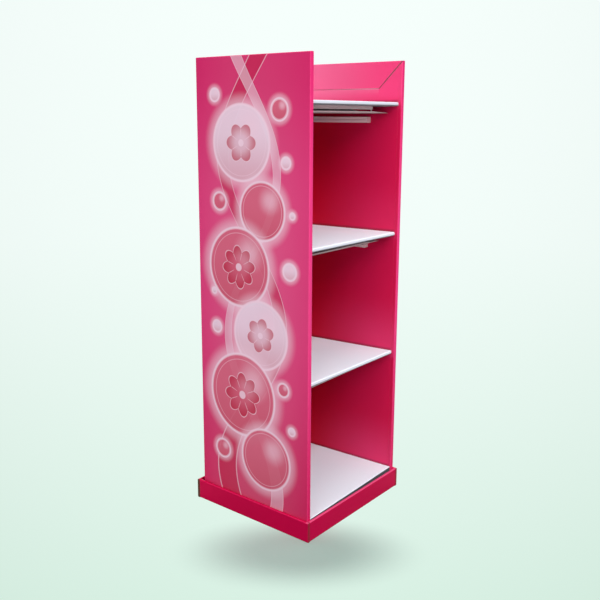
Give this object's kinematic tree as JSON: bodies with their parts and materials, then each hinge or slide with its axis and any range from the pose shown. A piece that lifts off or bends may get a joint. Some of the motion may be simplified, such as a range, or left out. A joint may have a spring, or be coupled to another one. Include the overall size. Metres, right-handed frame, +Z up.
{
  "type": "cardboard floor display stand",
  "caption": "Free-standing corrugated cardboard shop display: printed hollow side panels, leaning white shelves on folded bars and ledges, a back sheet and a rolled-wall base tray.",
  "frame": {"origin": "The middle of the stand's footprint, on the floor.", "axes": "+Z is up, the open front faces -Y, and +X is to the right of someone who looks at the open front."},
  "size_m": [0.5226, 0.4956, 1.5],
  "materials": {
    "printed_board": "satin print on coated white liner, brown fluted core at cut ends",
    "white_board": "unprinted white liner, matte",
    "brown_board": "plain brown kraft liner, matte"
  },
  "bodies": {
    "root": {"left_side_panel": "printed_board", "right_side_panel": "printed_board", "back_panel": "printed_board", "base_tray": "printed_board", "bottom_shelf": "white_board", "bottom_divider_long": "brown_board", "bottom_divider_cross": "brown_board", "top_shelf": "white_board", "top_shelf_bar": "white_board", "top_shelf_left_ledge": "white_board", "top_shelf_right_ledge": "white_board", "second_shelf": "white_board", "second_shelf_bar": "white_board", "second_shelf_left_ledge": "white_board", "second_shelf_right_ledge": "white_board", "third_shelf": "white_board", "third_shelf_bar": "white_board", "third_shelf_left_ledge": "white_board", "third_shelf_right_ledge": "white_board"}
  },
  "joints": []
}
